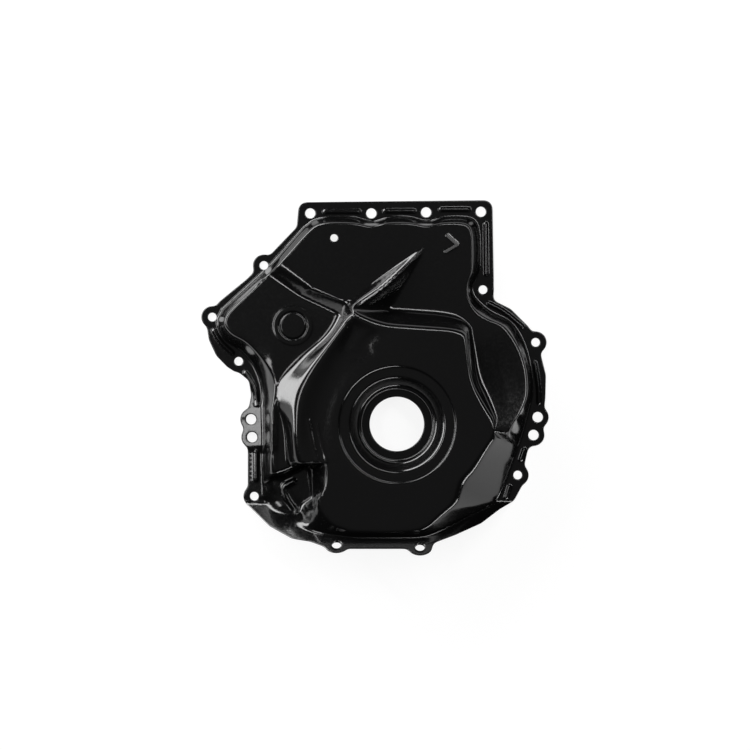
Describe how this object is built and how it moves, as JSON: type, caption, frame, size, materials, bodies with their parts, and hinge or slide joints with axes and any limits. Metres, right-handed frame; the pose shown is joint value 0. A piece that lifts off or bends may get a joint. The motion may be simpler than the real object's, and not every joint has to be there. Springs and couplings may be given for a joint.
{
  "type": "timing cover",
  "caption": "Lower timing cover pressed from one steel sheet, with a stepped case, a curved crest, a crank seal seat and a bolting flange that tilts at the bottom.",
  "frame": {"origin": "middle of the outline, on the plane of the flange's back", "axes": "+Z out of the cover's front, +Y towards its upper edge, +X to the right as seen from the front"},
  "size_m": [0.33, 0.3319, 0.0535],
  "materials": {
    "painted_steel": "gloss"
  },
  "bodies": {
    "root": {"timing_cover": "painted_steel"}
  },
  "joints": []
}
